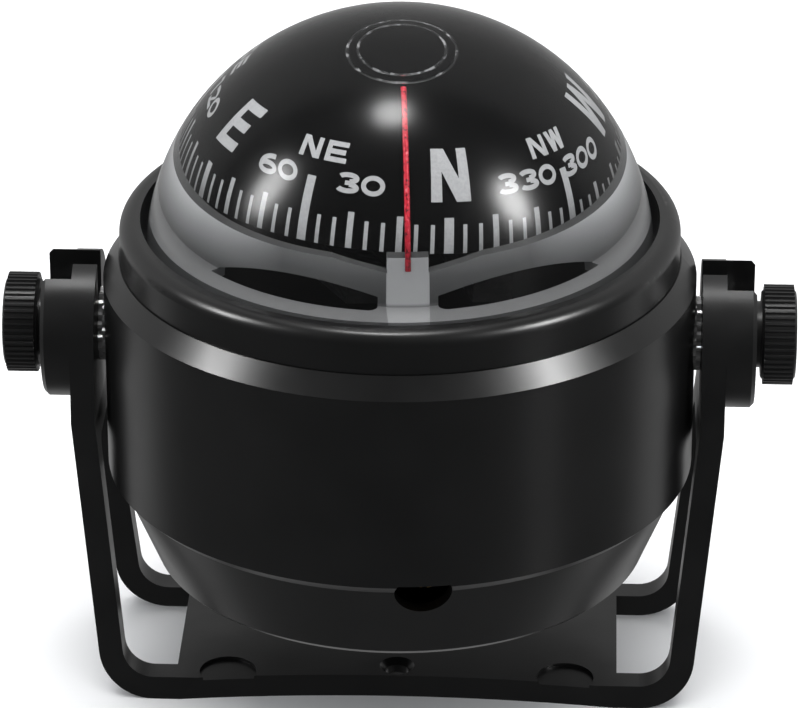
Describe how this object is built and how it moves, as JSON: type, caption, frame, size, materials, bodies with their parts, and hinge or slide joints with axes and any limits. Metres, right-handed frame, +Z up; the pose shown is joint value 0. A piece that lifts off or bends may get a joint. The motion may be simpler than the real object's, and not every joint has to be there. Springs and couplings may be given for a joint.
{
  "type": "binnacle compass",
  "caption": "Small bracket-mounted liquid compass with a clear dome, a domed card that turns on a pivot, and a black housing that tilts between two thumb knobs.",
  "frame": {"origin": "centre of the underside of the bracket", "axes": "+Z up from the mounting surface, -Y to the front where the lubber line is read, +X to the right along the tilt axis"},
  "size_m": [0.1, 0.0746, 0.0889],
  "materials": {
    "black_plastic": "satin",
    "knob_plastic": "matte",
    "dark_plastic": "matte",
    "grey_plastic": "satin",
    "red_plastic": "gloss",
    "clear_plastic": "polished",
    "card_plastic": "matte",
    "rubber": "matte",
    "zinc_steel": "satin",
    "brass": "satin",
    "magnet": "matte",
    "jewel": "polished"
  },
  "bodies": {
    "bracket": {"bracket": "black_plastic"},
    "slot_washers": {"tooth_washers": "zinc_steel"},
    "compass": {"housing": "black_plastic", "bottom_cover": "black_plastic", "cover_screws": "zinc_steel", "bezel_ring": "black_plastic", "dome": "clear_plastic", "dome_gasket": "rubber", "capsule_bowl": "dark_plastic", "lubber_frame": "grey_plastic", "lubber_line": "red_plastic", "pivot_post": "dark_plastic", "pivot_pin": "zinc_steel", "diaphragm": "rubber", "diaphragm_ring": "dark_plastic", "diaphragm_screws": "zinc_steel", "fill_plug": "brass", "trunnion_inserts": "brass", "compensator_carrier": "dark_plastic", "carrier_screws": "zinc_steel"},
    "left_washer": {"thrust_washer_left": "zinc_steel"},
    "right_washer": {"thrust_washer_right": "zinc_steel"},
    "left_knob": {"knob_left": "knob_plastic", "stud_left": "zinc_steel"},
    "right_knob": {"knob_right": "knob_plastic", "stud_right": "zinc_steel"},
    "ns_compensator": {"ns_rod": "brass", "ns_magnet": "magnet"},
    "ew_compensator": {"ew_rod": "brass", "ew_magnet": "magnet"},
    "jewel": {"pivot_jewel": "jewel"},
    "jewel_cup": {"jewel_holder": "brass"},
    "card": {"card": "card_plastic", "card_float": "card_plastic", "card_magnets": "magnet"}
  },
  "joints": [
    {"name": "lift_out", "type": "slide", "parent": "bracket", "child": "slot_washers", "axis": [0, 0, 1], "range_m": [0, 0.015]},
    {"name": "tilt", "type": "hinge", "parent": "slot_washers", "child": "compass", "pos_m": [0, 0, 0.0469], "axis": [1, 0, 0], "range_deg": [-180, 180]},
    {"name": "left_washer_out", "type": "slide", "parent": "compass", "child": "left_washer", "axis": [-1, 0, 0], "range_m": [0, 0.0021]},
    {"name": "right_washer_out", "type": "slide", "parent": "compass", "child": "right_washer", "axis": [1, 0, 0], "range_m": [0, 0.0021]},
    {"name": "left_knob_turn", "type": "hinge", "parent": "left_washer", "child": "left_knob", "pos_m": [-0.046, 0, 0.0469], "axis": [-1, 0, 0], "range_deg": [0, 1080]},
    {"name": "right_knob_turn", "type": "hinge", "parent": "right_washer", "child": "right_knob", "pos_m": [0.046, 0, 0.0469], "axis": [1, 0, 0], "range_deg": [0, 1080]},
    {"name": "ns_adjust", "type": "hinge", "parent": "compass", "child": "ns_compensator", "pos_m": [0.00425, 0, 0.0286], "axis": [0, 1, 0], "continuous": true},
    {"name": "ew_adjust", "type": "hinge", "parent": "compass", "child": "ew_compensator", "pos_m": [0, 0, 0.0234], "axis": [1, 0, 0], "continuous": true},
    {"name": "card_pitch", "type": "hinge", "parent": "compass", "child": "jewel", "pos_m": [0, 0, 0.064], "axis": [1, 0, 0], "range_deg": [-6, 22], "stiffness_Nm_per_rad": 0.0002},
    {"name": "card_roll", "type": "hinge", "parent": "jewel", "child": "jewel_cup", "pos_m": [0, 0, 0.064], "axis": [0, 1, 0], "range_deg": [-17, 11], "stiffness_Nm_per_rad": 0.0002},
    {"name": "card_spin", "type": "hinge", "parent": "jewel_cup", "child": "card", "pos_m": [0, 0, 0.064], "axis": [0.0501, 0.1392, 0.989], "continuous": true}
  ],
  "couplings": [
    {"joint": "left_knob_turn", "follows": "left_washer_out", "rad_per_m": 8976},
    {"joint": "right_knob_turn", "follows": "right_washer_out", "rad_per_m": 8976}
  ]
}
